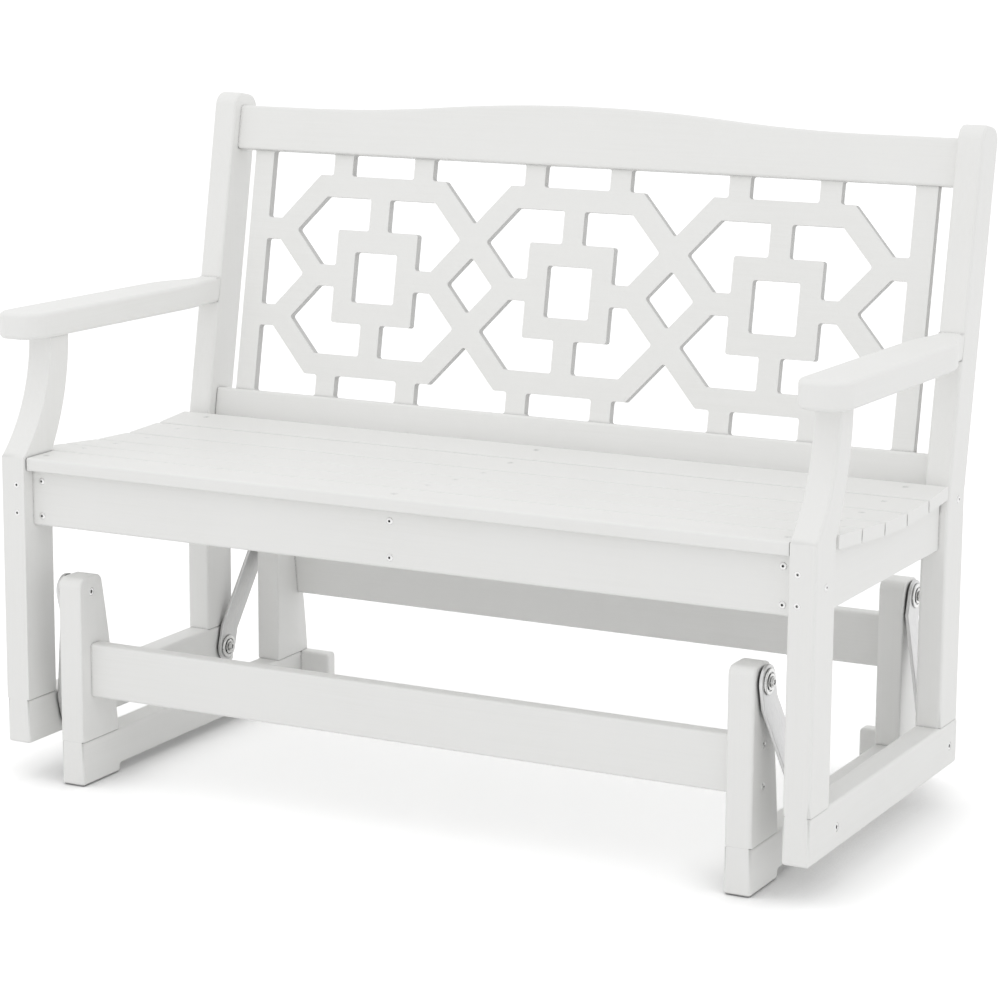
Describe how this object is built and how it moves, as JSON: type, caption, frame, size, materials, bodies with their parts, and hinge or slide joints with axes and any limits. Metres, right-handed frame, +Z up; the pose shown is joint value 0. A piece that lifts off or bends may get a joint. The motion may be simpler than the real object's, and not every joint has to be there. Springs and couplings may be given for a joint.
{
  "type": "glider bench",
  "caption": "Two-seat glider bench: a slatted seat with a pierced fretwork back hangs on joggled links from a sled base and swings to and fro.",
  "frame": {"origin": "centre of the bounding box, on the floor under the runners", "axes": "+X to the sitter's left across the width, +Y from the front to the back, +Z up"},
  "size_m": [1.301, 0.659, 0.9623],
  "materials": {
    "board": "white recycled plastic lumber with a faint sawn grain",
    "link_steel": "flat steel bar with a dull, pale zinc finish",
    "steel": "stainless fasteners and bearings"
  },
  "bodies": {
    "base": {"left_runner": "board", "right_runner": "board", "front_left_upright": "board", "front_right_upright": "board", "rear_left_upright": "board", "rear_right_upright": "board", "front_cross_rail": "board", "rear_cross_rail": "board", "left_foot_block": "board", "right_foot_block": "board", "upper_pivot_bolts": "steel", "upper_washers": "steel", "upper_lock_nuts": "steel", "base_screws": "steel"},
    "front_left_link": {"front_left_link": "link_steel", "front_left_bearings": "steel"},
    "front_right_link": {"front_right_link": "link_steel", "front_right_bearings": "steel"},
    "rear_left_link": {"rear_left_link": "link_steel", "rear_left_bearings": "steel"},
    "rear_right_link": {"rear_right_link": "link_steel", "rear_right_bearings": "steel"},
    "bench": {"left_bottom_rail": "board", "right_bottom_rail": "board", "left_front_leg": "board", "right_front_leg": "board", "left_rear_post": "board", "right_rear_post": "board", "left_armrest": "board", "right_armrest": "board", "front_apron": "board", "left_seat_rail": "board", "right_seat_rail": "board", "rear_seat_rail": "board", "left_seat_bearer": "board", "centre_seat_bearer": "board", "right_seat_bearer": "board", "nose_slat": "board", "seat_slat_1": "board", "seat_slat_2": "board", "seat_slat_3": "board", "seat_slat_4": "board", "seat_slat_5": "board", "lower_back_rail": "board", "crest_rail": "board", "fretwork_panel": "board", "lower_pivot_bolts": "steel", "lower_washers": "steel", "lower_lock_nuts": "steel", "slat_screws": "steel", "frame_screws": "steel"}
  },
  "joints": [
    {"name": "swing", "type": "hinge", "parent": "base", "child": "front_left_link", "pos_m": [-0.54565, -0.288, 0.286], "axis": [1, 0, 0], "range_deg": [-12, 12]},
    {"name": "bench_rock", "type": "hinge", "parent": "front_left_link", "child": "bench", "pos_m": [-0.58135, -0.23199, 0.08672], "axis": [1, 0, 0], "range_deg": [-15.1, 15.1]},
    {"name": "front_right_swing", "type": "hinge", "parent": "base", "child": "front_right_link", "pos_m": [0.54565, -0.288, 0.286], "axis": [1, 0, 0], "range_deg": [-12, 12]},
    {"name": "rear_left_swing", "type": "hinge", "parent": "base", "child": "rear_left_link", "pos_m": [-0.54565, 0.262, 0.286], "axis": [1, 0, 0], "range_deg": [-12, 12]},
    {"name": "rear_right_swing", "type": "hinge", "parent": "base", "child": "rear_right_link", "pos_m": [0.54565, 0.262, 0.286], "axis": [1, 0, 0], "range_deg": [-12, 12]}
  ],
  "couplings": [
    {"joint": "bench_rock", "follows": "swing", "ratio": -1.2558},
    {"joint": "front_right_swing", "follows": "swing", "ratio": 1},
    {"joint": "rear_left_swing", "follows": "swing", "ratio": 1},
    {"joint": "rear_right_swing", "follows": "swing", "ratio": 1}
  ]
}
